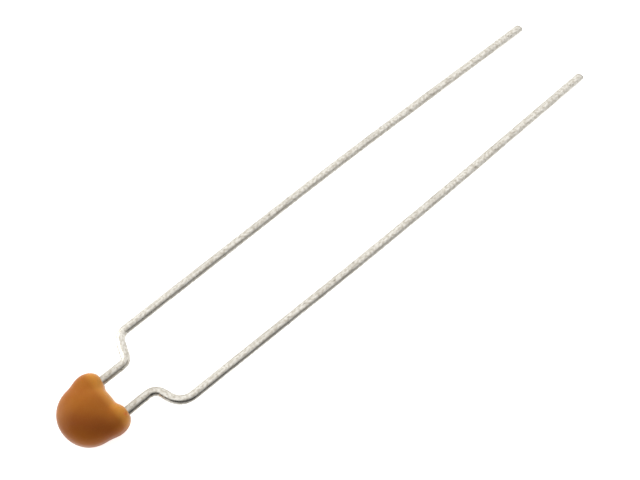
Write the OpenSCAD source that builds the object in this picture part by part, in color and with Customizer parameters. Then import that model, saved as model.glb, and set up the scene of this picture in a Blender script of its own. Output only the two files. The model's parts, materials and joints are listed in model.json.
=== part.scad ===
// Dipped radial multilayer ceramic capacitor with two kinked wire leads.
// It lies at rest on the underside of its coating and on its two lead tips:
// leads along +X, +Z up, origin under the middle of the whole part.
//
// The part is drawn flat first, in the plane of its leads: x = 0 at the front edge of the
// coating where the leads come out, y = 0 through the middle of the chip, z = 0 through the
// middle of the wire. at_rest() then tips it onto the surface that it lies on.

/* [Chip] */
// Chip across its two end caps
chip_w = 1.6; // [1.3:0.05:2]
// Chip along the leads
chip_l = 0.8; // [0.7:0.05:1.1]
// Chip thickness
chip_h = 0.8; // [0.7:0.05:1]
// Tumbled radius along the edges of the chip
chip_edge_r = 0.08; // [0.02:0.01:0.12]
// Thickness of the fired metal end caps
cap_t = 0.04; // [0.02:0.01:0.06]
// How far the end caps wrap round onto the sides of the chip
cap_wrap = 0.3; // [0.2:0.05:0.45]

/* [Electrodes] */
// Number of buried metal layers
layer_count = 14; // [4:1:18]
// Thickness of one metal layer
layer_t = 0.015; // [0.01:0.005:0.02]
// Ceramic above the top layer and below the bottom one
cover_t = 0.08; // [0.05:0.01:0.12]
// Ceramic left beside each layer
side_margin = 0.13; // [0.08:0.01:0.2]
// Ceramic between a layer and the end cap that it must not reach
end_margin = 0.22; // [0.15:0.01:0.35]

/* [Leads] */
// Diameter of the tinned wire
lead_d = 0.5; // [0.4:0.02:0.6]
// Spacing of the leads beyond their kinks
lead_pitch = 5.15; // [4.4:0.01:6]
// How far the body sits to the left of the middle between the leads
off_middle = 0.05; // [-0.15:0.01:0.15]
// Front edge of the coating to the cut tips
lead_reach = 33.2; // [28:0.05:38]
// How far the wire runs on past the back of the chip
lead_tail = 0.15; // [0:0.05:0.3]
// Slant of the shear cut at each tip, in degrees
tip_slant = 18; // [0:1:30]

/* [Kinks] */
// Front edge of the coating to the middle of the left kink
left_kink_x = 1.7; // [1.5:0.01:2.5]
// Slope of the left kink, in degrees
left_kink_angle = 70; // [50:1:80]
// Bend radius of the left kink next to the body
left_inner_r = 0.4; // [0.3:0.05:0.6]
// Bend radius of the left kink next to the run
left_outer_r = 0.7; // [0.4:0.05:0.9]
// How far outwards the left run heads beyond its kink, in degrees
left_aim = 0.6; // [0.2:0.05:1.5]
// Gentle turn inwards halfway along the left run, in degrees
left_bow = 1.4; // [0.4:0.1:3]
// Front edge of the coating to the middle of the right kink
right_kink_x = 1.89; // [1.5:0.01:2.5]
// Slope of the right kink, in degrees
right_kink_angle = 71; // [55:1:75]
// Bend radius of the right kink next to the body
right_inner_r = 0.65; // [0.4:0.05:0.9]
// Bend radius of the right kink next to the run
right_outer_r = 1.05; // [0.6:0.05:1.3]
// How far outwards the right run heads beyond its kink, in degrees
right_aim = 0.75; // [0.2:0.05:1.5]
// Gentle turn inwards halfway along the right run, in degrees
right_bow = 1.7; // [0.4:0.1:3]

/* [Solder] */
// Solder left between the wire and the end cap
solder_gap = 0.01; // [0.01:0.01:0.05]
// Solder round the rest of the wire
solder_film = 0.03; // [0.02:0.01:0.06]
// Foot of the solder fillet up and down the end cap
fillet_h = 0.34; // [0.28:0.01:0.38]

/* [Coating] */
// Resin in front of the chip, to the front edge
front_wall = 1.15; // [0.9:0.05:1.5]
// Resin behind the chip, to the round end
rear_wall = 1.2; // [0.9:0.05:1.6]
// Resin outside each lead
side_wall = 0.54; // [0.45:0.01:0.9]
// Resin above and below the chip
face_wall = 0.8; // [0.55:0.05:1.1]
// Resin above and below the leads where they come out
ear_wall = 0.6; // [0.45:0.05:0.75]
// Radius of the two ears seen from above
ear_r = 0.74; // [0.55:0.01:0.8]
// How far back the ears reach
ear_l = 1.7; // [1.3:0.1:2.1]
// How much narrower the round end is than the ears, on each side
taper = 0.21; // [0.05:0.01:0.35]
// Depth of the saddle between the ears
saddle = 0.22; // [0.1:0.01:0.4]
// Tightness of the hollows where the lobes of resin run together, in 1/mm
blend = 9; // [6:1:14]
// Fullness of the faces: 2 is a plain ellipsoid, more is flatter with fuller shoulders
fullness = 2.3; // [2:0.1:3]
// How far the resin hangs towards the left lead, from the middle of the chip
hang = 0.07; // [0:0.01:0.25]
// Turn of the resin against the leads, in degrees
twist = 0.7; // [-3:0.1:3]

/* [Hidden] */
$fn = 48;
// Columns round the coating and rows from pole to pole
columns = 56;
rows = 28;
// Bisection steps that find each point of the coating
steps = 16;
// Radius of the long gentle bend, and how far along the leads its middle lies
bow_r = 400;
bow_x = 17.95;
// Straight pieces of an arc on a chip edge
edge_steps = 4;
// Rounds of settling that find the tilt at rest
settle_rounds = 4;
// Where a bend of the wire meets a straight: the gap between them, and how far the ball
// that bridges it stands proud
joint_gap = 0.01;
joint_swell = 0.002;

lead_r = lead_d / 2;
lead_y = chip_w / 2 + solder_gap + lead_r;
chip_front_x = -front_wall;
chip_x = chip_front_x - chip_l / 2;
lead_start_x = chip_front_x - chip_l - lead_tail;

ceramic_w = chip_w - 2 * cap_t;
ceramic_l = chip_l - 2 * cap_t;
ceramic_h = chip_h - 2 * cap_t;
layer_pitch = (ceramic_h - 2 * cover_t - layer_t) / (layer_count - 1);

coat_l = front_wall + chip_l + rear_wall;
coat_w = 2 * (lead_y + lead_r + side_wall);
coat_t = chip_h + 2 * face_wall;

function layer_name(i) = str("electrode_", i < 9 ? "0" : "", i + 1);

// ---- The coating: one drop round the chip run together with one ear round each lead ----

bulb_l = coat_l - saddle;
bulb_w = coat_w - 2 * taper;
ear_t = lead_d + 2 * ear_wall;
ear_y = coat_w / 2 - ear_r;
heart = [-coat_l / 2, 0, 0];
// Each lobe is a middle and three half sizes
LOBES = [
    [[-coat_l + bulb_l / 2, 0, 0], [bulb_l, bulb_w, coat_t] / 2],
    [[-ear_l / 2, ear_y, 0], [ear_l, 2 * ear_r, ear_t] / 2],
    [[-ear_l / 2, -ear_y, 0], [ear_l, 2 * ear_r, ear_t] / 2]
];

// Pull of one lobe at a point: 1 on its own skin, more inside and less outside
function pull(p, lobe) =
    let (
        half = lobe[1],
        u = [for (i = [0:2]) (p[i] - lobe[0][i]) / half[i]],
        reach = pow(pow(norm([u.x, u.y]), fullness) + pow(abs(u.z), fullness), 1 / fullness)
    )
    exp(blend * min(half) * (1 - reach));

function inside(p) = pull(p, LOBES[0]) + pull(p, LOBES[1]) + pull(p, LOBES[2]) > 1;

// Distance from the heart to the skin along a direction, by halving the bracket
function skin(dir, near, far, n) =
    let (mid = (near + far) / 2)
    n == 0 ? mid
    : inside(heart + mid * dir) ? skin(dir, mid, far, n - 1)
    : skin(dir, near, mid, n - 1);

function direction(column, row) =
    let (turn = 360 * column / columns, rise = 180 * row / rows - 90)
    [cos(rise) * cos(turn), cos(rise) * sin(turn), sin(rise)];

function drop_point(dir) = heart + dir * skin(dir, 0, coat_w + coat_l, steps);

// Bottom pole, the rings between, and the top pole
raw_drop = concat(
    [drop_point([0, 0, -1])],
    [for (row = [1:rows - 1], column = [0:columns - 1]) drop_point(direction(column, row))],
    [drop_point([0, 0, 1])]
);

function lowest(points, axis) = min([for (p = points) p[axis]]);
function highest(points, axis) = max([for (p = points) p[axis]]);
function span(points, axis) = highest(points, axis) - lowest(points, axis);

// The drop brought to its stated sizes, front edge at x = 0, then turned and hung
stretch = [coat_l / span(raw_drop, 0), coat_w / span(raw_drop, 1), coat_t / span(raw_drop, 2)];
raw_front = highest(raw_drop, 0);

function hung(p) =
    let (x = (p.x - raw_front) * stretch.x, y = p.y * stretch.y)
    [x * cos(twist) - y * sin(twist), x * sin(twist) + y * cos(twist) + hang, p.z * stretch.z];

drop = [for (p = raw_drop) hung(p)];

function ring_index(row, column) = 1 + (row - 1) * columns + column % columns;
top_pole = len(raw_drop) - 1;
drop_faces = concat(
    [for (c = [0:columns - 1]) [0, ring_index(1, c), ring_index(1, c + 1)]],
    [
        for (row = [1:rows - 2], c = [0:columns - 1])
        each [
            [ring_index(row, c), ring_index(row + 1, c), ring_index(row + 1, c + 1)],
            [ring_index(row, c), ring_index(row + 1, c + 1), ring_index(row, c + 1)]
        ]
    ],
    [for (c = [0:columns - 1]) [ring_index(rows - 1, c), top_pole, ring_index(rows - 1, c + 1)]]
);

// ---- The leads: straight lengths and bends, followed one after another ----

// The moves of one lead, from its buried end to its tip. A move is a straight [length] or
// a bend [radius, angle], and a positive angle turns away from the other lead.
function lead_moves(run_y, kink_x, kink_angle, inner_r, outer_r, aim, bow) =
    let (
        bends_out = inner_r * (1 - cos(kink_angle)) + outer_r * (cos(aim) - cos(kink_angle)),
        slope = (run_y - lead_y - bends_out) / sin(kink_angle),
        stub = kink_x - slope / 2 * cos(kink_angle) - inner_r * sin(kink_angle) - lead_start_x,
        kink = [[stub], [inner_r, kink_angle], [slope], [outer_r, aim - kink_angle]],
        bow_start_x = bow_x - bow_r * sin(bow / 2),
        run = (bow_start_x - pose_after(kink)[0]) / cos(aim),
        bowed = concat(kink, [[run], [bow_r, -bow]]),
        tail = (lead_reach - pose_after(bowed)[0]) / cos(bow - aim)
    )
    concat(bowed, [[tail]]);

// Where a list of moves leads: x, y and heading
function pose_after(moves, i = 0, pose = [lead_start_x, lead_y, 0]) =
    i == len(moves) ? pose
    : pose_after(moves, i + 1, moved(pose, moves[i]));

function moved(pose, move) =
    let (heading = pose[2])
    len(move) == 1
    ? [pose[0] + move[0] * cos(heading), pose[1] + move[0] * sin(heading), heading]
    : let (next = heading + move[1], r = sign(move[1]) * move[0])
      [pose[0] + r * (sin(next) - sin(heading)), pose[1] - r * (cos(next) - cos(heading)), next];

left_moves = lead_moves(
    lead_pitch / 2 - off_middle, left_kink_x, left_kink_angle, left_inner_r, left_outer_r,
    left_aim, left_bow
);
right_moves = lead_moves(
    lead_pitch / 2 + off_middle, right_kink_x, right_kink_angle, right_inner_r, right_outer_r,
    right_aim, right_bow
);

// Widest reach of a lead from the middle of the chip: the crest of its bow, or its tip where
// the bow doesn't turn it back
function widest(moves, aim, bow) =
    let (before_bow = [for (i = [0:len(moves) - 3]) moves[i]])
    lead_r + (
        aim < bow
        ? pose_after(before_bow)[1] + bow_r * (1 - cos(aim))
        : pose_after(moves)[1]
    );

// ---- At rest: the tip angle at which the drop and both lead tips touch the surface ----

function tipped(p, tilt) = [p.x * cos(tilt) + p.z * sin(tilt), p.y, p.z * cos(tilt) - p.x * sin(tilt)];

function lowest_point(tilt) =
    let (heights = [for (p = drop) tipped(p, tilt).z])
    drop[search(min(heights), heights)[0]];

// Better and better tilt: level the surface under the drop's lowest point and the tips
function settle(tilt, n) =
    let (p = lowest_point(tilt))
    n == 0 ? tilt : settle(atan((-p.z - lead_r) / (lead_reach - p.x)), n - 1);

rest_tilt = settle(0, settle_rounds);
drop_at_rest = [for (p = drop) tipped(p, rest_tilt)];
rest_back = lowest(drop_at_rest, 0);
rest_front = tipped([lead_reach + lead_r * tan(tip_slant), 0, 0], rest_tilt).x;
rest_middle_y =
    (widest(left_moves, left_aim, left_bow) - widest(right_moves, right_aim, right_bow)) / 2;
origin = [(rest_back + rest_front) / 2, rest_middle_y, lowest(drop_at_rest, 2)];

module at_rest() {
    translate(-origin)
        rotate([0, rest_tilt, 0])
            children();
}

// ---- Shared forms ----

// Right-hand pieces are the left-hand forms seen in a mirror
module on_side(side) {
    if (side == "left") children();
    else mirror([0, 1, 0]) children();
}

// A wire that follows its moves from where it stands, along +X. A bend stops a hair short
// of its straights at both ends, and a ball a hair wider than the wire joins them.
module wire(moves, i = 0) {
    if (i < len(moves)) {
        move = moves[i];
        if (len(move) == 1) {
            rotate([0, 90, 0]) cylinder(h = move[0], r = lead_r);
            translate([move[0], 0, 0]) wire(moves, i + 1);
        } else {
            flip = move[1] < 0 ? 1 : 0;
            r = move[0];
            turn = abs(move[1]);
            short = joint_gap / r * 180 / PI;
            joint_ball();
            mirror([0, flip, 0]) {
                translate([0, r, 0])
                    rotate([0, 0, short - 90])
                        rotate_extrude(angle = turn - 2 * short) translate([r, 0]) circle(r = lead_r);
                translate([r * sin(turn), r * (1 - cos(turn)), 0])
                    rotate([0, 0, turn])
                        mirror([0, flip, 0]) {
                            joint_ball();
                            wire(moves, i + 1);
                        }
            }
        }
    }
}

// Its poles lie along the wire
module joint_ball() {
    rotate([0, 90, 0]) sphere(r = lead_r + joint_swell);
}

module lead_form(side) {
    moves = side == "left" ? left_moves : right_moves;
    over = lead_r * tan(tip_slant);
    last = len(moves) - 1;
    grown = [for (i = [0:last]) i == last ? [moves[i][0] + over] : moves[i]];
    end = pose_after(moves);
    on_side(side)
        difference() {
            translate([lead_start_x, lead_y, 0]) wire(grown);
            // The shear's waste side; both tips are cut the same way, seen from above
            translate([end[0], end[1], 0])
                rotate([0, 0, side == "left" ? tip_slant : -tip_slant])
                    translate([0, -lead_d, -lead_d]) cube([3 * lead_d, 2 * lead_d, 2 * lead_d]);
        }
}

// Corner-rounded rectangle about the origin
function rounded(w, h, r) = [
    for (corner = [0:3], i = [0:edge_steps])
    let (
        a = 90 * corner + 90 * i / edge_steps,
        sx = corner == 0 || corner == 3 ? 1 : -1,
        sy = corner < 2 ? 1 : -1
    )
    [sx * (w / 2 - r) + r * cos(a), sy * (h / 2 - r) + r * sin(a)]
];

// A bar along Y with the chip's rounded section, from y = from to y = to
module chip_bar(from, to, shrink = 0) {
    translate([chip_x, to, 0])
        rotate([90, 0, 0])
            linear_extrude(height = to - from)
                polygon(rounded(chip_l - 2 * shrink, chip_h - 2 * shrink, chip_edge_r));
}

module solder_section() {
    translate([lead_y, 0]) circle(r = lead_r + solder_film);
    polygon([
        [chip_w / 2, -fillet_h],
        [lead_y, -lead_r - solder_film / 2],
        [lead_y, lead_r + solder_film / 2],
        [chip_w / 2, fillet_h]
    ]);
}

// The solder's outside, as long as the end cap that it sits on
module solder_form() {
    solder_l = chip_l - 2 * chip_edge_r;
    translate([chip_x - solder_l / 2, 0, 0])
        rotate([90, 0, 90])
            linear_extrude(height = solder_l)
                intersection() {
                    solder_section();
                    translate([chip_w / 2, -chip_h]) square([chip_w, 2 * chip_h]);
                }
}

module cap_form() {
    chip_bar(chip_w / 2 - cap_wrap, chip_w / 2);
}

// Layer i of the stack: odd and even layers start at opposite ends of the ceramic. The slot for a
// layer is cut past the end, so that no skin is left there
module layer_form(i, past = 0) {
    z = -ceramic_h / 2 + cover_t + i * layer_pitch;
    on_side(i % 2 == 0 ? "left" : "right")
        translate([chip_x - ceramic_l / 2 + side_margin, -ceramic_w / 2 + end_margin, z])
            cube([ceramic_l - 2 * side_margin, ceramic_w - end_margin + past, layer_t]);
}

// ---- The pieces ----

module coating() {
    color("#a5622b")
        at_rest()
            difference() {
                polyhedron(points = drop, faces = drop_faces, convexity = 4);
                chip_bar(-ceramic_w / 2, ceramic_w / 2, cap_t);
                for (side = ["left", "right"]) {
                    on_side(side) cap_form();
                    on_side(side) solder_form();
                    lead_form(side);
                }
            }
}

module lead(side) {
    color("#c9c5bb") at_rest() lead_form(side);
}

module solder(side) {
    color("#9b9c9e")
        at_rest()
            difference() {
                on_side(side) solder_form();
                lead_form(side);
            }
}

module termination(side) {
    color("#b9a58c")
        at_rest()
            on_side(side)
                difference() {
                    cap_form();
                    chip_bar(-ceramic_w / 2, ceramic_w / 2, cap_t);
                }
}

module ceramic_block() {
    color("#d9cdb4")
        at_rest()
            difference() {
                chip_bar(-ceramic_w / 2, ceramic_w / 2, cap_t);
                for (i = [0:layer_count - 1]) layer_form(i, past = cap_t);
            }
}

module electrode(i) {
    color("#6f6a66") at_rest() layer_form(i);
}

coating();
lead("left");  // lead_left
lead("right");  // lead_right
solder("left");  // solder_left
solder("right");  // solder_right
termination("left");  // termination_left
termination("right");  // termination_right
ceramic_block();
for (i = [0:layer_count - 1])
    electrode(i);
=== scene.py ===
# %% [markdown]
# A dipped ceramic capacitor, seen from close by. The real object is very small: a body less than
# 4 mm wide and two leads of half-millimetre wire. Everything here is in metres, so the first thing
# to settle is a short name for a millimetre. The solids are already made and packed, and they are
# loaded as a fixed frame: nothing below moves or resizes them.

# %% Load the frame
import json
import math

import bmesh
import bpy
import numpy as np
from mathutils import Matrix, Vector, noise


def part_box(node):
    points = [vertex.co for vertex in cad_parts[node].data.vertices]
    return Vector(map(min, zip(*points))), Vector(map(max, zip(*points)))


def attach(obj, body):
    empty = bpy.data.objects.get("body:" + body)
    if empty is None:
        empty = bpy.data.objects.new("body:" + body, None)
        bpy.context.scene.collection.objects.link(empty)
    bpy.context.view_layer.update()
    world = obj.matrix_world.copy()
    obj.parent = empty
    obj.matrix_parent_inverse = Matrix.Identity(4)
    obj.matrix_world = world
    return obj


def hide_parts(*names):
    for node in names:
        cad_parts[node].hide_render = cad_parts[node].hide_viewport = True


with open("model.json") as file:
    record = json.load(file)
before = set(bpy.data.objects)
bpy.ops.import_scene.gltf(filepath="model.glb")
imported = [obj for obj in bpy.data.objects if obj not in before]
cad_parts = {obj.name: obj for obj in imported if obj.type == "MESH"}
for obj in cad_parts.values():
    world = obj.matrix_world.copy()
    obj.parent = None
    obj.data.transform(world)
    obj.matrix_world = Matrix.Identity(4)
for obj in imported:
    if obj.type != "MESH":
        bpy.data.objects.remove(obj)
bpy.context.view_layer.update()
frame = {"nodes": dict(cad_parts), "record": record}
MM = 0.001
print("nodes in the frame:", len(frame["nodes"]))

# %% [markdown]
# The part lies at rest, so its leads slope down from the body to the two tips. Two things are
# measured from the frame instead of typed in again: the angle of that slope, and where the wire
# starts inside the coating. A point is then given "flat", as on a drawing of the part: x forward
# from the front edge of the coating, y to the left, z up from the middle of the wire.

# %% From the flat drawing to the frame
WIRE_R = 0.25 * MM
BURIED = 2.1 * MM
TIP_SLANT = math.radians(18)
TILT_ROUNDS = 4

left_low, left_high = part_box("lead_left")
right_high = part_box("lead_right")[1]


def measured_tilt():
    """The slope of the leads, found again a few times because the wire's own ends lean with it."""
    tilt = 0.0
    for _ in range(TILT_ROUNDS):
        drop = left_high.z - left_low.z - 2 * WIRE_R * math.cos(tilt)
        ends = 2 * WIRE_R * math.sin(tilt) + WIRE_R * math.tan(TIP_SLANT) * math.cos(tilt)
        tilt = math.atan(drop / (left_high.x - left_low.x - ends))
    return tilt


TILT = measured_tilt()
LEAD_Y = (left_low.y - right_high.y) / 2 + WIRE_R
START = Vector((
    left_low.x + WIRE_R * math.sin(TILT),
    (left_low.y + right_high.y) / 2,
    left_high.z - WIRE_R * math.cos(TILT),
))


def placed(points):
    """Flat drawing points, one per row, turned and moved into the frame."""
    x, y, z = (np.asarray(points, float) + [BURIED, 0, 0]).T
    return np.stack([
        START.x + x * math.cos(TILT) + z * math.sin(TILT),
        START.y + y,
        START.z - x * math.sin(TILT) + z * math.cos(TILT),
    ], axis=1)


print(f"leads slope {math.degrees(TILT):.2f} degrees")
print(f"leads leave the body {2 * LEAD_Y / MM:.2f} mm apart")

# %% [markdown]
# The camera stands close, about 45 mm away, and looks down steeply. Such a near camera makes the
# far ends of the leads look smaller and closer together than they are. Its place is given as the
# direction it looks back along, its distance, and how far it stands to the right of and above the
# point where the leads leave the body.

# %% Camera
AZIMUTH = math.radians(-42.05)
ELEVATION = math.radians(64.34)
DISTANCE = 45.0 * MM
RIGHT_OF_EXIT = 10.35 * MM
ABOVE_EXIT = 8.345 * MM
LENS = 48.8

exit_floor = Vector(placed([[0, 0, 0]])[0])
exit_floor.z = 0
look_back = Vector((
    math.sin(AZIMUTH) * math.cos(ELEVATION),
    -math.cos(AZIMUTH) * math.cos(ELEVATION),
    math.sin(ELEVATION),
))
look_right = Vector((math.cos(AZIMUTH), math.sin(AZIMUTH), 0))
look_up = look_back.cross(look_right)

camera = bpy.data.objects.new("camera", bpy.data.cameras.new("camera"))
bpy.context.scene.collection.objects.link(camera)
camera.location = (
    exit_floor + look_right * RIGHT_OF_EXIT + look_up * ABOVE_EXIT + look_back * DISTANCE
)
camera.rotation_euler = look_back.to_track_quat("Z", "Y").to_euler()
camera.data.lens = LENS
camera.data.clip_start = 0.5 * MM
bpy.context.scene.camera = camera
bpy.context.scene.view_settings.view_transform = "Standard"
print("camera at", [round(v / MM, 1) for v in camera.location], "mm")

# %% [markdown]
# The part lies on a plain white table. Any white sheet would do, but lit by the room alone it
# would look grey beside a bright sky, so this one glows a little itself. It is left out of
# reflections: the wires should mirror the room and not the sheet that they lie on.

# %% The table
FLOOR_SIZE = 1.2
FLOOR_GLOW = 0.75
FLOOR_WHITE = (0.86, 0.86, 0.86, 1)


def new_material(name):
    """A material with an empty node tree, its Principled shader and its output."""
    material = bpy.data.materials.new(name)
    material.use_nodes = True
    nodes = material.node_tree.nodes
    nodes.clear()
    shader = nodes.new("ShaderNodeBsdfPrincipled")
    output = nodes.new("ShaderNodeOutputMaterial")
    material.node_tree.links.new(shader.outputs["BSDF"], output.inputs["Surface"])
    return material, shader


def make_floor():
    """A glowing white table, left out of reflections so that the low cards can be seen there."""
    bpy.ops.mesh.primitive_plane_add(size=FLOOR_SIZE)
    floor = bpy.context.object
    floor.name = "floor"
    floor.visible_glossy = False
    material, shader = new_material("white_table")
    shader.inputs["Base Color"].default_value = FLOOR_WHITE
    shader.inputs["Roughness"].default_value = 0.9
    shader.inputs["Specular IOR Level"].default_value = 0.0
    shader.inputs["Emission Color"].default_value = (1, 1, 1, 1)
    shader.inputs["Emission Strength"].default_value = FLOOR_GLOW
    floor.data.materials.append(material)


make_floor()
print("table side:", FLOOR_SIZE, "m")

# %% [markdown]
# Metal has hardly a colour of its own and mostly shows its surroundings, so these are designed
# next, as a list of soft patches on a white sky. A bright window on the left gives the pale haze
# on the resin. The right-hand side of the room is dim, which makes each wire fade from light to
# dark round its girth. Three dark cards stand low on that side, and they draw the thin dark line
# that makes the wire look round. Cards could be real planes, but patches of sky cast no shadows
# and are easier to move.
#
# One world can serve three kinds of ray. Reflections see the patches, matt surfaces are filled
# evenly, and the camera sees plain white.

# %% The sky
SKY_LEVEL = 1.3
SKY_FILL = 0.58
# Each patch: the direction of its middle, the angles from there at which it starts to fade and is
# gone, in degrees, and its brightness
SKY_PATCHES = [
    ((-0.62, 0.65, 0.44), 8, 40, 4.0),
    ((-0.35, -0.90, 0.15), 5, 85, 0.50),
    ((-0.10, -0.97, 0.08), 8, 34, 0.06),
    ((-0.52, -0.75, 0.34), 8, 34, 0.04),
    ((-0.84, -0.25, 0.45), 8, 34, 0.03),
]


def sky_patch(tree, direction, level, patch):
    """Fades the sky towards a patch's brightness round the patch's direction."""
    middle, inner, outer, brightness = patch
    near = tree.nodes.new("ShaderNodeVectorMath")
    near.operation = "DOT_PRODUCT"
    near.inputs[1].default_value = Vector(middle).normalized()
    fade = tree.nodes.new("ShaderNodeMapRange")
    fade.interpolation_type = "SMOOTHSTEP"
    fade.inputs["From Min"].default_value = math.cos(math.radians(outer))
    fade.inputs["From Max"].default_value = math.cos(math.radians(inner))
    blend = tree.nodes.new("ShaderNodeMix")
    blend.inputs["B"].default_value = brightness
    tree.links.new(direction, near.inputs[0])
    tree.links.new(near.outputs["Value"], fade.inputs["Value"])
    tree.links.new(fade.outputs["Result"], blend.inputs["Factor"])
    if level is None:
        blend.inputs["A"].default_value = SKY_LEVEL
    else:
        tree.links.new(level, blend.inputs["A"])
    return blend.outputs["Result"]


def make_sky():
    """The room round the part: patches for reflections, even light for everything else."""
    world = bpy.data.worlds.new("soft_sky")
    bpy.context.scene.world = world
    world.use_nodes = True
    tree = world.node_tree
    tree.nodes.clear()
    direction = tree.nodes.new("ShaderNodeTexCoord").outputs["Generated"]
    level = None
    for patch in SKY_PATCHES:
        level = sky_patch(tree, direction, level, patch)
    seen = tree.nodes.new("ShaderNodeLightPath")
    back = tree.nodes.new("ShaderNodeBackground")
    out = tree.nodes.new("ShaderNodeOutputWorld")
    for ray, brightness in (("Is Diffuse Ray", SKY_FILL), ("Is Camera Ray", SKY_LEVEL)):
        pick = tree.nodes.new("ShaderNodeMix")
        tree.links.new(seen.outputs[ray], pick.inputs["Factor"])
        tree.links.new(level, pick.inputs["A"])
        pick.inputs["B"].default_value = brightness
        level = pick.outputs["Result"]
    tree.links.new(level, back.inputs["Strength"])
    tree.links.new(back.outputs[0], out.inputs["Surface"])


make_sky()
print("sky patches:", len(SKY_PATCHES))

# %% [markdown]
# One large soft lamp adds a gentle shadow and shapes the resin. It is left out of reflections
# too, because a square lamp would burn a hard streak into the wires.

# %% The key light


def add_soft_light(name, direction, distance, size, power):
    """A square soft light that looks at the middle of the part from a direction."""
    light = bpy.data.lights.new(name, "AREA")
    light.size = size
    light.energy = power
    lamp = bpy.data.objects.new(name, light)
    lamp.visible_glossy = False
    bpy.context.scene.collection.objects.link(lamp)
    way = Vector(direction).normalized()
    lamp.location = way * distance
    lamp.rotation_euler = way.to_track_quat("Z", "Y").to_euler()


add_soft_light(
    "key_light", direction=(0.30, 0.80, 0.45), distance=250 * MM, size=200 * MM, power=0.5
)

# %% [markdown]
# Three shader effects serve nearly every finish on this part. Each is a node group: built once
# with named sockets, and placed in each material with its own values. The first is a cloudy mask,
# for anything that is blotchy. Scale counts repeats in a metre, so on such a small part it is
# large: 10000 is one in a tenth of a millimetre.

# %% Shared effect: clouds


def new_group(name, inputs, outputs):
    """A shader node group with float or vector sockets, and its two end nodes."""
    group = bpy.data.node_groups.new(name, "ShaderNodeTree")
    for socket, kind, value in inputs:
        made = group.interface.new_socket(socket, in_out="INPUT", socket_type=kind)
        if value is not None:
            made.default_value = value
    for socket, kind in outputs:
        group.interface.new_socket(socket, in_out="OUTPUT", socket_type=kind)
    start = group.nodes.new("NodeGroupInput")
    end = group.nodes.new("NodeGroupOutput")
    return group, start, end


def make_clouds():
    """Cloudy mask: soft noise stretched between a low and a high value."""
    group, start, end = new_group(
        "clouds",
        [("Vector", "NodeSocketVector", None), ("Scale", "NodeSocketFloat", 1000.0),
         ("Detail", "NodeSocketFloat", 3.0), ("Low", "NodeSocketFloat", 0.35),
         ("High", "NodeSocketFloat", 0.65)],
        [("Mask", "NodeSocketFloat")],
    )
    cloud = group.nodes.new("ShaderNodeTexNoise")
    spread = group.nodes.new("ShaderNodeMapRange")
    spread.interpolation_type = "SMOOTHSTEP"
    link = group.links.new
    link(start.outputs["Vector"], cloud.inputs["Vector"])
    link(start.outputs["Scale"], cloud.inputs["Scale"])
    link(start.outputs["Detail"], cloud.inputs["Detail"])
    link(cloud.outputs["Fac"], spread.inputs["Value"])
    link(start.outputs["Low"], spread.inputs["From Min"])
    link(start.outputs["High"], spread.inputs["From Max"])
    link(spread.outputs["Result"], end.inputs["Mask"])
    return group


CLOUDS = make_clouds()
print("group:", CLOUDS.name)

# %% [markdown]
# The second effect is a fine grain. It tilts the surface normal, as relief does that is too small
# for the mesh. Its depth is a real one in metres, so it stays right for a part of any size.

# %% Shared effect: grain


def make_grain():
    """Fine grain: noise turned into a bumpy normal of a real depth."""
    group, start, end = new_group(
        "grain",
        [("Vector", "NodeSocketVector", None), ("Scale", "NodeSocketFloat", 5000.0),
         ("Detail", "NodeSocketFloat", 4.0), ("Depth", "NodeSocketFloat", 0.004 * MM)],
        [("Normal", "NodeSocketVector")],
    )
    speckle = group.nodes.new("ShaderNodeTexNoise")
    bump = group.nodes.new("ShaderNodeBump")
    link = group.links.new
    link(start.outputs["Vector"], speckle.inputs["Vector"])
    link(start.outputs["Scale"], speckle.inputs["Scale"])
    link(start.outputs["Detail"], speckle.inputs["Detail"])
    link(speckle.outputs["Fac"], bump.inputs["Height"])
    link(start.outputs["Depth"], bump.inputs["Distance"])
    link(bump.outputs["Normal"], end.inputs["Normal"])
    return group


GRAIN = make_grain()
print("group:", GRAIN.name)

# %% [markdown]
# The third effect is a scatter of specks, for filler grains and nicks. A cell pattern gives one
# round spot per cell; painted dots would repeat or run out on a mesh of another size.

# %% Shared effect: specks


def make_specks():
    """Specks: small round spots, one in each cell of a scatter, strongest in the middle."""
    group, start, end = new_group(
        "specks",
        [("Vector", "NodeSocketVector", None), ("Scale", "NodeSocketFloat", 4000.0),
         ("Size", "NodeSocketFloat", 0.25)],
        [("Mask", "NodeSocketFloat")],
    )
    cells = group.nodes.new("ShaderNodeTexVoronoi")
    spread = group.nodes.new("ShaderNodeMapRange")
    spread.inputs["From Min"].default_value = 0.0
    spread.inputs["To Min"].default_value = 1.0
    spread.inputs["To Max"].default_value = 0.0
    link = group.links.new
    link(start.outputs["Vector"], cells.inputs["Vector"])
    link(start.outputs["Scale"], cells.inputs["Scale"])
    link(cells.outputs["Distance"], spread.inputs["Value"])
    link(start.outputs["Size"], spread.inputs["From Max"])
    link(spread.outputs["Result"], end.inputs["Mask"])
    return group


SPECKS = make_specks()
print("group:", SPECKS.name)

# %% [markdown]
# Finishes are then put together from a few small steps: place an effect, fetch a value that the
# mesh carries, fade one colour into another, and turn a mask into a range of values.

# %% Steps for building a finish


def use(material, group, vector, **values):
    """Places a node group in a material, joins its vector and sets its other sockets."""
    node = material.node_tree.nodes.new("ShaderNodeGroup")
    node.node_tree = group
    material.node_tree.links.new(vector, node.inputs["Vector"])
    for socket, value in values.items():
        node.inputs[socket].default_value = value
    return node


def object_place(material):
    """The place in the frame, in metres."""
    return material.node_tree.nodes.new("ShaderNodeTexCoord").outputs["Object"]


def mesh_value(material, name, output="Fac"):
    """A value or a place that the mesh itself carries, point by point."""
    node = material.node_tree.nodes.new("ShaderNodeAttribute")
    node.attribute_name = name
    return node.outputs[output]


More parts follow.
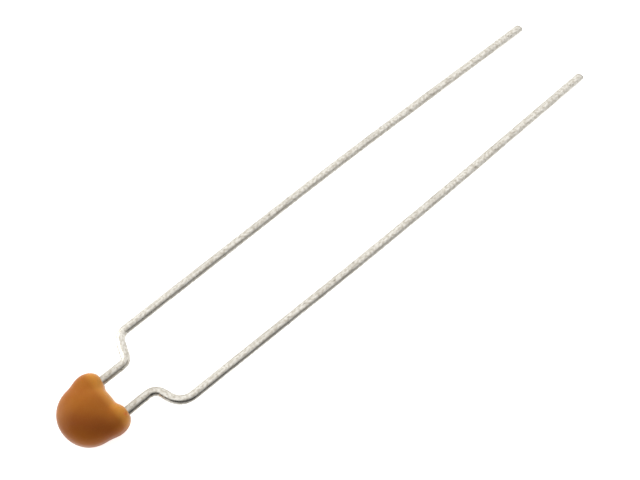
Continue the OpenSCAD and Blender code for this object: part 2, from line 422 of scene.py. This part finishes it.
def mixed(material, factor, a, b):
    """Colour a fading into colour b; each is a socket or an (r, g, b)."""
    tree = material.node_tree
    node = tree.nodes.new("ShaderNodeMix")
    node.data_type = "RGBA"
    tree.links.new(factor, node.inputs["Factor"])
    for socket, value in (("A", a), ("B", b)):
        target = [s for s in node.inputs if s.name == socket and s.type == "RGBA"][0]
        if isinstance(value, bpy.types.NodeSocket):
            tree.links.new(value, target)
        else:
            target.default_value = (*value, 1)
    return [s for s in node.outputs if s.type == "RGBA"][0]


def ranged(material, value, low, high):
    """A mask from 0 to 1 turned into a value between low and high."""
    node = material.node_tree.nodes.new("ShaderNodeMapRange")
    material.node_tree.links.new(value, node.inputs["Value"])
    node.inputs["To Min"].default_value = low
    node.inputs["To Max"].default_value = high
    return node.outputs["Result"]


def laid_over(material, below, mask, strength, colour):
    """A thin colour laid over another, as far as a mask and a strength let it show."""
    return mixed(material, ranged(material, mask, 0.0, strength), below, colour)


print("shader groups:", [g.name for g in bpy.data.node_groups])

# %% [markdown]
# The coating is one drop of resin. The bare part is dipped, and the resin pulls itself round the
# chip and round each lead, so its skin is the smooth sum of three soft lobes: one big round one
# and two small ears, with a saddle between the ears. It could be sculpted, or built from balls
# with a voxel remesh, but the same sum of lobes as the solid's gives the true form at any
# fineness. Here it is solved on a much finer ball of points.

# %% The lobes of resin
COAT_L = 3.15 * MM
COAT_W = 3.70 * MM
COAT_T = 2.4 * MM
SADDLE = 0.22 * MM
TAPER = 0.21 * MM
EAR_R = 0.74 * MM
EAR_L = 1.7 * MM
EAR_T = 1.7 * MM
BLEND = 9 / MM
FULLNESS = 2.3
HANG = 0.07 * MM
TWIST = math.radians(0.7)
BALL_STEPS = 7
HALVINGS = 22

# Each lobe: its middle and its size
heart = np.array([-COAT_L / 2, 0, 0])
bulb = ((-(COAT_L + SADDLE) / 2, 0, 0), (COAT_L - SADDLE, COAT_W - 2 * TAPER, COAT_T))
ears = [
    ((-EAR_L / 2, side * (COAT_W / 2 - EAR_R), 0), (EAR_L, 2 * EAR_R, EAR_T))
    for side in (1, -1)
]


def pull(points, lobe):
    """How strongly a lobe holds each point: 1 on its own skin."""
    middle, size = lobe
    half = np.array(size) / 2
    u = (points - middle) / half
    flat = np.hypot(u[:, 0], u[:, 1])
    reach = (flat ** FULLNESS + np.abs(u[:, 2]) ** FULLNESS) ** (1 / FULLNESS)
    return np.exp(BLEND * half.min() * (1 - reach))


def skin(directions, lobes):
    """Walks out from the heart along each direction to where the lobes' pulls add up to 1."""
    near = np.zeros(len(directions))
    far = np.full(len(directions), COAT_W + COAT_L)
    for _ in range(HALVINGS):
        middle = (near + far) / 2
        points = heart + directions * middle[:, None]
        within = sum(pull(points, lobe) for lobe in lobes) > 1
        near = np.where(within, middle, near)
        far = np.where(within, far, middle)
    return heart + directions * near[:, None]


def ball_of_directions():
    """An even ball of points, whose directions the skin is solved on."""
    ball = bmesh.new()
    bmesh.ops.create_icosphere(ball, subdivisions=BALL_STEPS, radius=1.0)
    directions = np.array([v.co[:] for v in ball.verts])
    faces = [[v.index for v in f.verts] for f in ball.faces]
    ball.free()
    return directions / np.linalg.norm(directions, axis=1)[:, None], faces


directions, ball_faces = ball_of_directions()
plain_skin = skin(directions, [bulb, *ears])
skin_front = plain_skin[:, 0].max()
stretch = np.array([COAT_L, COAT_W, COAT_T]) / np.ptp(plain_skin, axis=0)
print("points on the coating:", len(directions), "stretch", np.round(stretch, 4))

# %% [markdown]
# The solved drop is brought to its true size and hung a little to one side, as the real one ran
# before it set. Resin shrinks as it cures, so where a lead comes out its skin is drawn back a
# little and leaves a shallow dimple round the wire. That dimple is only a pull along the wire,
# which fades with the distance from it.

# %% The finished skin
DIMPLE_DEPTH = 0.05 * MM
DIMPLE_FADE = 0.12 * MM
FRONT_L = COAT_L / 3


def hung(points):
    """From the lobes' own space to the flat drawing: sized, turned and hung to one side."""
    x, y, z = ((points - [skin_front, 0, 0]) * stretch).T
    c, s = math.cos(TWIST), math.sin(TWIST)
    return np.stack([x * c - y * s, x * s + y * c + HANG, z], axis=1)


def dimpled(points):
    """Draws the skin back round each lead, on the front part of the coating only."""
    moved = points.copy()
    for side in (1, -1):
        away = np.hypot(points[:, 1] - side * LEAD_Y, points[:, 2]) - WIRE_R
        pull_back = DIMPLE_DEPTH * np.exp(-np.maximum(away, 0) / DIMPLE_FADE)
        moved[:, 0] -= np.where(points[:, 0] > -FRONT_L, pull_back, 0)
    return moved


coat_flat = dimpled(hung(plain_skin))
print("coating on the drawing:", np.round(np.ptp(coat_flat, axis=0) / MM, 3), "mm")

# %% [markdown]
# Cured resin isn't perfectly smooth. It has a faint unevenness some tenths of a millimetre
# across, from the way it ran before it set, and here and there a pit where a bubble burst. Both
# are real shape, so they go into the mesh and not only into the shading.

# %% Unevenness and pits
RIPPLE_DEPTH = 0.006 * MM
RIPPLE_SIZE = 0.55 * MM
PIT_COUNT = 16
PIT_R = 0.05 * MM
PIT_SPREAD = (0.5, 1.1)
PIT_DEPTH = 0.012 * MM
rng = np.random.default_rng(7)


def point_normals(points, faces):
    """Area-weighted normals of a closed triangle mesh."""
    f = np.array(faces)
    a, b, c = (points[f[:, i]] for i in range(3))
    across = np.cross(b - a, c - a)
    normals = np.zeros_like(points)
    for i in range(3):
        np.add.at(normals, f[:, i], across)
    return normals / np.linalg.norm(normals, axis=1)[:, None]


def ripple(points):
    """Soft unevenness from -1 to 1 at each point."""
    return np.array([noise.noise(Vector(p) / RIPPLE_SIZE) for p in points])


def pits(points):
    """Depth of the burst bubbles, from 0 to 1, at each point."""
    depth = np.zeros(len(points))
    for middle in points[rng.integers(0, len(points), PIT_COUNT)]:
        away = np.linalg.norm(points - middle, axis=1) / (PIT_R * rng.uniform(*PIT_SPREAD))
        depth = np.maximum(depth, np.exp(-away ** 2))
    return depth


normals = point_normals(coat_flat, ball_faces)
pit_depth = pits(coat_flat)
raised = RIPPLE_DEPTH * ripple(coat_flat) - PIT_DEPTH * pit_depth
coat_flat = coat_flat + normals * raised[:, None]
print("pits:", PIT_COUNT, "deepest", round(PIT_DEPTH / MM, 3), "mm")

# %% [markdown]
# The mesh will carry three masks for its finish. Resin is a little see-through, so along the
# front, where it is thin, it looks lighter and more orange; this mask also holds painted light on
# the front and the ears. The second mask is painted shade: a band which runs slantwise over the
# broad face, on the side turned away from the key light. The third mask marks one fleck of
# pigment that wasn't stirred in. They could be painted by hand, but as plain functions of the
# place they stay right when the mesh gets finer.

# %% Masks of the coating
# How far behind the front edge the thin orange part, thin resin with painted light on it, starts
# to fade, and where it is gone
THIN_AND_LIT_FRONT = 0.30 * MM
THIN_AND_LIT_BACK = 0.78 * MM
# The painted shade band: where it starts and ends on the flat drawing, and how far it reaches to
# each side
SHADE_BAND_FROM = (-2.35 * MM, -0.2 * MM)
SHADE_BAND_TO = (-1.35 * MM, -1.45 * MM)
SHADE_BAND_R = 1.1 * MM
FLECK_PLACE = (-0.22 * MM, -1.32 * MM)
FLECK_R = 0.08 * MM


def smooth(t):
    """A soft step from 0 to 1."""
    t = np.clip(t, 0, 1)
    return t * t * (3 - 2 * t)


def thin_and_lit_mask(points):
    """Thin see-through resin and painted light together: 1 along the front, over the wires and the
    saddle, and 0 over the chip.
    """
    return smooth((points[:, 0] + THIN_AND_LIT_BACK) / (THIN_AND_LIT_BACK - THIN_AND_LIT_FRONT))


def shade_band_mask(points):
    """Painted shade: 1 along a slanting line on the side away from the key light, fading to 0 on
    both sides.
    """
    start, line = np.array(SHADE_BAND_FROM), np.array(SHADE_BAND_TO) - SHADE_BAND_FROM
    flat = points[:, :2] - start
    share = np.clip(flat @ line / (line @ line), 0, 1)
    away = np.linalg.norm(flat - share[:, None] * line, axis=1)
    return smooth(1 - away / SHADE_BAND_R)


def fleck_mask(points):
    """1 on one fleck of red pigment beside the right lead, on the upper side."""
    away = np.hypot(points[:, 0] - FLECK_PLACE[0], points[:, 1] - FLECK_PLACE[1]) / FLECK_R
    return np.exp(-away ** 2) * (points[:, 2] > 0)


coat_values = {
    "thin_and_lit": thin_and_lit_mask(coat_flat), "painted_shade_band": shade_band_mask(coat_flat), "fleck": fleck_mask(coat_flat),
}
for key, value in coat_values.items():
    print("points over half of the mask", key, int((value > 0.5).sum()))

# %% [markdown]
# Now the coating is built. Its points go from the flat drawing into the frame, the masks go with
# them as attributes of the mesh, and the piece takes the place of the plain solid.

# %% Build the coating


def mesh_object(name, points, faces, values):
    """A smooth-shaded mesh piece that carries values on its points."""
    mesh = bpy.data.meshes.new(name)
    mesh.from_pydata([tuple(p) for p in points], [], faces)
    for key, data in values.items():
        if data.ndim == 1:
            mesh.attributes.new(key, "FLOAT", "POINT").data.foreach_set("value", data)
        else:
            made = mesh.attributes.new(key, "FLOAT_VECTOR", "POINT")
            made.data.foreach_set("vector", data.ravel())
    mesh.shade_smooth()
    mesh.update()
    piece = bpy.data.objects.new(name, mesh)
    bpy.context.scene.collection.objects.link(piece)
    return piece


coat = mesh_object("resin_coating", placed(coat_flat), ball_faces, coat_values)
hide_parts("coating")
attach(coat, "root")
print("coating faces:", len(coat.data.polygons))

# %% [markdown]
# The resin's finish: brown ochre, with a soft gloss that never gives a sharp highlight. Its colour
# is built up in layers: clouded ochre first, then deep brown as painted shade over the slanting
# band, orange along the thin front, partly see-through resin and partly painted light, pale filler
# grains as tiny specks, and last the fleck. Fine powder on cured resin pales its rims, and sheen
# does the same here. Coat stays very weak, and a little light is let into the resin under the
# skin. A scanned texture could look as rich, but it would need a file.

# %% Resin finish
OCHRE_DARK = (0.385, 0.117, 0.011)
OCHRE_LIGHT = (0.440, 0.148, 0.015)
# Painted shade: a darker brown on the side of the resin turned away from the key light
PAINTED_SHADE_BROWN = (0.290, 0.072, 0.005)
# Partly the colour of thin resin, partly painted light on the front and the ears
THIN_AND_LIT_ORANGE = (0.600, 0.245, 0.034)
FILLER_BUFF = (0.62, 0.30, 0.08)
PIGMENT_RED = (0.72, 0.13, 0.03)


def resin_finish():
    """Ochre resin, toned by the masks that the coating's mesh carries."""
    material, shader = new_material("ochre_resin")
    link = material.node_tree.links.new
    place = object_place(material)
    cloud = use(material, CLOUDS, place, Scale=700.0, Detail=2.0, Low=0.3, High=0.7)
    tone = mixed(material, cloud.outputs["Mask"], OCHRE_DARK, OCHRE_LIGHT)
    # Painted shade laid over the slanting band
    tone = mixed(material, mesh_value(material, "painted_shade_band"), tone, PAINTED_SHADE_BROWN)
    # Thin resin with painted light along the front
    tone = mixed(material, mesh_value(material, "thin_and_lit"), tone, THIN_AND_LIT_ORANGE)
    filler = use(material, SPECKS, place, Scale=22000.0, Size=0.30)
    tone = laid_over(material, tone, filler.outputs["Mask"], 0.22, FILLER_BUFF)
    tone = laid_over(material, tone, mesh_value(material, "fleck"), 0.55, PIGMENT_RED)
    link(tone, shader.inputs["Base Color"])
    film = use(material, CLOUDS, place, Scale=2600.0, Detail=3.0, Low=0.3, High=0.75)
    link(ranged(material, film.outputs["Mask"], 0.34, 0.46), shader.inputs["Roughness"])
    peel = use(material, GRAIN, place, Scale=5200.0, Detail=2.0, Depth=0.0035 * MM)
    link(peel.outputs["Normal"], shader.inputs["Normal"])
    shader.inputs["IOR"].default_value = 1.48
    shader.inputs["Specular IOR Level"].default_value = 0.16
    shader.inputs["Sheen Weight"].default_value = 0.45
    shader.inputs["Sheen Roughness"].default_value = 0.30
    shader.inputs["Coat Weight"].default_value = 0.02
    shader.inputs["Coat Roughness"].default_value = 0.2
    shader.inputs["Subsurface Weight"].default_value = 0.12
    shader.inputs["Subsurface Radius"].default_value = (1.0, 0.35, 0.08)
    shader.inputs["Subsurface Scale"].default_value = 0.25 * MM
    return material


coat.data.materials.append(resin_finish())
print("finish of the coating: ochre_resin")

# %% [markdown]
# The leads are tinned wire, formed on a machine: each goes straight out of the body, kinks
# outwards and runs on to a sheared tip. The solids already have that route, and it is repeated
# here as a list of straights and bends, which a small walker follows. A curve with a round bevel
# would give a plain tube, but this wire also needs tool marks, a rough tin skin and a slanted
# cut, so it is lofted from rings.

# %% The route of each lead
PITCH = 5.15 * MM
OFF_MIDDLE = 0.05 * MM
REACH = 33.2 * MM
BOW_R = 400 * MM
BOW_X = 17.95 * MM
KINKS = {
    "left": dict(run_y=PITCH / 2 - OFF_MIDDLE, middle=1.70 * MM, slope=70,
                 inner=0.40 * MM, outer=0.70 * MM, aim=0.6, bow=1.4),
    "right": dict(run_y=PITCH / 2 + OFF_MIDDLE, middle=1.89 * MM, slope=71,
                  inner=0.65 * MM, outer=1.05 * MM, aim=0.75, bow=1.7),
}
RING_GAP = 0.09 * MM
BEND_STEP = math.radians(4)
LEAST_STEPS = 4


def walk(moves, pose):
    """Follows straights (length,) and bends (radius, angle) and lists x, y, heading on the way."""
    stations = [pose]
    for move in moves:
        x, y, heading = stations[-1]
        if len(move) == 1:
            steps = max(1, round(move[0] / RING_GAP))
            for i in range(1, steps + 1):
                d = move[0] * i / steps
                stations.append((x + d * math.cos(heading), y + d * math.sin(heading), heading))
        else:
            by_angle = math.ceil(abs(move[1]) / BEND_STEP)
            by_length = round(abs(move[0] * move[1]) / RING_GAP)
            steps = max(LEAST_STEPS, by_angle, by_length)
            r = math.copysign(move[0], move[1])
            for i in range(1, steps + 1):
                a = heading + move[1] * i / steps
                turn_x = r * (math.sin(a) - math.sin(heading))
                turn_y = r * (math.cos(heading) - math.cos(a))
                stations.append((x + turn_x, y + turn_y, a))
    return stations


def lead_route(run_y, middle, slope, inner, outer, aim, bow):
    """The whole route of one lead on the flat drawing, from its buried end to its tip."""
    slope, aim, bow = math.radians(slope), math.radians(aim), math.radians(bow)
    bends_out = inner * (1 - math.cos(slope)) + outer * (math.cos(aim) - math.cos(slope))
    across = (run_y - LEAD_Y - bends_out) / math.sin(slope)
    stub = middle - across / 2 * math.cos(slope) - inner * math.sin(slope) + BURIED
    kink = [(stub,), (inner, slope), (across,), (outer, aim - slope)]
    route = walk(kink, (-BURIED, LEAD_Y, 0.0))
    run = (BOW_X - BOW_R * math.sin(bow / 2) - route[-1][0]) / math.cos(aim)
    route += walk([(run,), (BOW_R, -bow)], route[-1])[1:]
    tail = (REACH - route[-1][0]) / math.cos(bow - aim)
    return np.array(route + walk([(tail,)], route[-1])[1:])


routes = {side: lead_route(**kink) for side, kink in KINKS.items()}
print("rings:", {side: len(route) for side, route in routes.items()})

# %% [markdown]
# Each ring of the loft sits square to the route. Its radius changes by a few thousandths of a
# millimetre: slow lumps where the tin ran thick, and flats where the forming jaws pinched the
# wire at its bends. The last rings close over the cut, a little hollow as a sheared end is.

# %% Rings of a lead
ROUND = 40
LUMP = 0.004 * MM
LUMP_L = 0.9 * MM
LUMP_SEEDS = {"left": Vector((3.1, 7.7, 0)), "right": Vector((9.2, 1.4, 5.0))}
JAW_FLAT = 0.010 * MM
JAW_SHARPNESS = 3
# A bend of this radius or less counts as a full one, and its mark is blurred over this many rings
FULL_BEND_R = 0.75 * MM
BEND_BLUR = 5
# The rings of the cut face, as shares of the wire's radius, and how far they lie inside the rim
FACE_RINGS = (0.97, 0.86, 0.70, 0.45, 0.20)
FACE_STEP = 0.001 * MM
FACE_HOLLOW = 0.02 * MM


def bend_amount(route):
    """How sharply the route bends at each ring, from 0 on a straight to 1 in a tight bend."""
    step = np.linalg.norm(np.gradient(route[:, :2], axis=0), axis=1)
    turn = np.abs(np.gradient(route[:, 2])) / step
    amount = np.clip(turn * FULL_BEND_R, 0, 1)
    return np.convolve(amount, np.ones(BEND_BLUR) / BEND_BLUR, mode="same")


def lead_mesh(side):
    """Points, faces and carried values of one lead, on the flat drawing."""
    route = routes[side]
    last = len(route) - 1
    mirror = 1 if side == "left" else -1
    bend = bend_amount(route)
    along = np.concatenate([[0], np.cumsum(np.linalg.norm(np.diff(route[:, :2], axis=0), axis=1))])
    angles = np.arange(ROUND) * 2 * math.pi / ROUND
    points, straight_place, cut_face = [], [], []

    def ring(i, share, sink):
        """One ring: at full size on the wire, or a share of it and sunk back on the cut face."""
        x, y, heading = route[i]
        for a in angles:
            spot = Vector((along[i] / LUMP_L, math.cos(a), math.sin(a)))
            lump = LUMP * noise.noise(spot + LUMP_SEEDS[side])
            flat = JAW_FLAT * bend[i] * abs(math.cos(a)) ** JAW_SHARPNESS
            r = (WIRE_R + lump - flat) * share
            out, up = r * math.cos(a), r * math.sin(a)
            # Both tips are sheared the same way in the frame, longer towards the right
            slant = -mirror * out * math.tan(TIP_SLANT) if i == last else 0.0
            ahead = slant - sink
            points.append((
                x + ahead * math.cos(heading) - out * math.sin(heading),
                mirror * (y + ahead * math.sin(heading) + out * math.cos(heading)),
                up,
            ))
            straight_place.append((along[i] + ahead, mirror * out, up))
            cut_face.append(1.0 if sink else 0.0)

    for i in range(len(route)):
        ring(i, 1.0, 0.0)
    for share in FACE_RINGS:
        ring(last, share, FACE_HOLLOW * (1 - share) + FACE_STEP)
    rings = len(route) + len(FACE_RINGS)
    faces = []
    for k in range(rings - 1):
        for j in range(ROUND):
            n = (j + 1) % ROUND
            quad = [k * ROUND + j, k * ROUND + n, (k + 1) * ROUND + n, (k + 1) * ROUND + j]
            faces.append(quad if side == "right" else quad[::-1])
    start_cap = list(range(ROUND))
    end_cap = list(range((rings - 1) * ROUND, rings * ROUND))
    faces.append(start_cap if side == "left" else start_cap[::-1])
    faces.append(end_cap[::-1] if side == "left" else end_cap)
    return np.array(points), faces, np.array(straight_place), np.array(cut_face)


for side, route in routes.items():
    print("sharpest bend,", side, round(float(bend_amount(route).max()), 2))

# %% [markdown]
# Each lead carries what its finish needs: its place along the unbent wire, a mask for the cut
# face, where tin gives way to bare steel, and one for the painted shade near the body.

# %% Build the leads
# How far from the coating the painted shade on the wire fades out
NEAR_BODY_SHADE_L = 2.2 * MM


def build_lead(side):
    """One lead in place of its solid, with the values that its finish needs."""
    points, faces, straight_place, cut_face = lead_mesh(side)
    # Painted shade near the body: 1 at the coating, fading out along the wire
    near_body_shade = 1 - smooth((straight_place[:, 0] - BURIED) / NEAR_BODY_SHADE_L)
    piece = mesh_object(
        f"tinned_lead_{side}", placed(points), faces,
        {"wire_place": straight_place, "cut_face": cut_face, "near_body_shade": near_body_shade},
    )
    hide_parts(f"lead_{side}")
    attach(piece, "root")
    return piece


leads = {side: build_lead(side) for side in KINKS}
print("lead faces:", {side: len(piece.data.polygons) for side, piece in leads.items()})

# %% [markdown]
# Tin on wire is dull silver with a warm cast. It isn't a mirror: drawing and dipping leave fine
# lines along the wire, a mottle of smoother and rougher spots, duller stretches and a few dark
# nicks. All are made in the wire's own straightened space, which the mesh carries, so they follow
# the wire round its bends. A factor below 1 on that space's first axis draws them out along the
# wire. Near the body the tin is painted darker: painted shade, with a brown cast from the coating.

# %% Tinned wire finish
TIN_GREY = (0.63, 0.585, 0.500)
TIN_BRIGHT = (0.94, 0.910, 0.835)
TIN_DULL = (0.50, 0.46, 0.39)
NICK_BROWN = (0.20, 0.17, 0.13)
# Painted shade near the body, with a painted brown reflection of the coating
NEAR_BODY_SHADE_BROWN = (0.36, 0.31, 0.24)
BARE_STEEL = (0.42, 0.38, 0.34)


def scaled(material, vector, factors):
    """A place stretched by a different factor along each axis."""
    node = material.node_tree.nodes.new("ShaderNodeVectorMath")
    node.operation = "MULTIPLY"
    material.node_tree.links.new(vector, node.inputs[0])
    node.inputs[1].default_value = factors
    return node.outputs["Vector"]


def tin_finish():
    """Worn tin over drawn wire, with bare steel where it is cut."""
    material, shader = new_material("tinned_wire")
    link = material.node_tree.links.new
    wire = mesh_value(material, "wire_place", "Vector")
    mottle = use(material, CLOUDS, scaled(material, wire, (0.7, 1, 1)), Scale=8500.0, Detail=4.0,
                 Low=0.36, High=0.60)
    lines = use(material, CLOUDS, scaled(material, wire, (0.06, 1, 1)), Scale=16000.0, Detail=4.0,
                Low=0.35, High=0.7)
    stretches = use(material, CLOUDS, wire, Scale=800.0, Detail=2.0, Low=0.45, High=0.70)
    nicks = use(material, SPECKS, scaled(material, wire, (0.5, 1, 1)), Scale=3200.0, Size=0.20)
    tone = mixed(material, mottle.outputs["Mask"], TIN_GREY, TIN_BRIGHT)
    for mask, strength, colour in (
        (lines.outputs["Mask"], 0.35, TIN_DULL),
        (stretches.outputs["Mask"], 0.30, TIN_DULL),
        (nicks.outputs["Mask"], 0.80, NICK_BROWN),
        # Painted shade near the body, brownish from the coating
        (mesh_value(material, "near_body_shade"), 0.35, NEAR_BODY_SHADE_BROWN),
    ):
        tone = laid_over(material, tone, mask, strength, colour)
    tone = mixed(material, mesh_value(material, "cut_face"), tone, BARE_STEEL)
    link(tone, shader.inputs["Base Color"])
    shader.inputs["Metallic"].default_value = 1.0
    link(ranged(material, mottle.outputs["Mask"], 0.38, 0.24), shader.inputs["Roughness"])
    rough = use(material, GRAIN, scaled(material, wire, (0.6, 1, 1)), Scale=12000.0, Detail=4.0,
                Depth=0.006 * MM)
    link(rough.outputs["Normal"], shader.inputs["Normal"])
    return material


TIN = tin_finish()
for piece in leads.values():
    piece.data.materials.append(TIN)
print("finish of the leads: tinned_wire")

# %% [markdown]
# Sealed inside the resin are the fired chip, its buried metal layers, its end caps and the solder
# that holds it to the leads. Nobody sees them, but they are real pieces and each has its own
# finish. Their solids are already right, so they stay as they are and only change material.

# %% Finishes of the sealed pieces


def plain_finish(name, dark, light, metallic, rough, cloud_size, grain_size, depth):
    """A clouded, grainy finish; sizes are in metres, and rough goes with dark and light."""
    material, shader = new_material(name)
    link = material.node_tree.links.new
    place = object_place(material)
    cloud = use(material, CLOUDS, place, Scale=1 / cloud_size, Detail=4.0)
    link(mixed(material, cloud.outputs["Mask"], dark, light), shader.inputs["Base Color"])
    link(ranged(material, cloud.outputs["Mask"], *rough), shader.inputs["Roughness"])
    grain = use(material, GRAIN, place, Scale=1 / grain_size, Detail=3.0, Depth=depth)
    link(grain.outputs["Normal"], shader.inputs["Normal"])
    shader.inputs["Metallic"].default_value = metallic
    return material


FINISHES = {
    "ceramic": plain_finish(
        "fired_ceramic", dark=(0.50, 0.42, 0.30), light=(0.66, 0.58, 0.45), metallic=0.0,
        rough=(0.55, 0.70), cloud_size=0.15 * MM, grain_size=0.02 * MM, depth=0.0015 * MM,
    ),
    "electrode": plain_finish(
        "fired_metal_layer", dark=(0.22, 0.20, 0.18), light=(0.36, 0.34, 0.31), metallic=1.0,
        rough=(0.40, 0.55), cloud_size=0.10 * MM, grain_size=0.015 * MM, depth=0.001 * MM,
    ),
    "termination": plain_finish(
        "fired_end_cap", dark=(0.42, 0.38, 0.32), light=(0.60, 0.56, 0.50), metallic=1.0,
        rough=(0.45, 0.65), cloud_size=0.12 * MM, grain_size=0.02 * MM, depth=0.003 * MM,
    ),
    "solder": plain_finish(
        "solder_joint", dark=(0.50, 0.51, 0.53), light=(0.70, 0.71, 0.73), metallic=1.0,
        rough=(0.22, 0.38), cloud_size=0.20 * MM, grain_size=0.05 * MM, depth=0.002 * MM,
    ),
}
print("finishes:", [finish.name for finish in FINISHES.values()])

# %% [markdown]
# Each sealed piece keeps its own mesh and only changes its material. The record of the part says
# which slot each one has, so no list of nodes is typed in.

# %% Dress the sealed pieces


def dress(node, finish):
    """Puts one finish in every material slot of a carried-over node."""
    data = frame["nodes"][node].data
    data.materials.clear()
    data.materials.append(finish)


sealed = [part for part in frame["record"]["subparts"] if part["material_slot"] in FINISHES]
for part in sealed:
    dress(part["node"], FINISHES[part["material_slot"]])
print("sealed pieces dressed:", len(sealed))
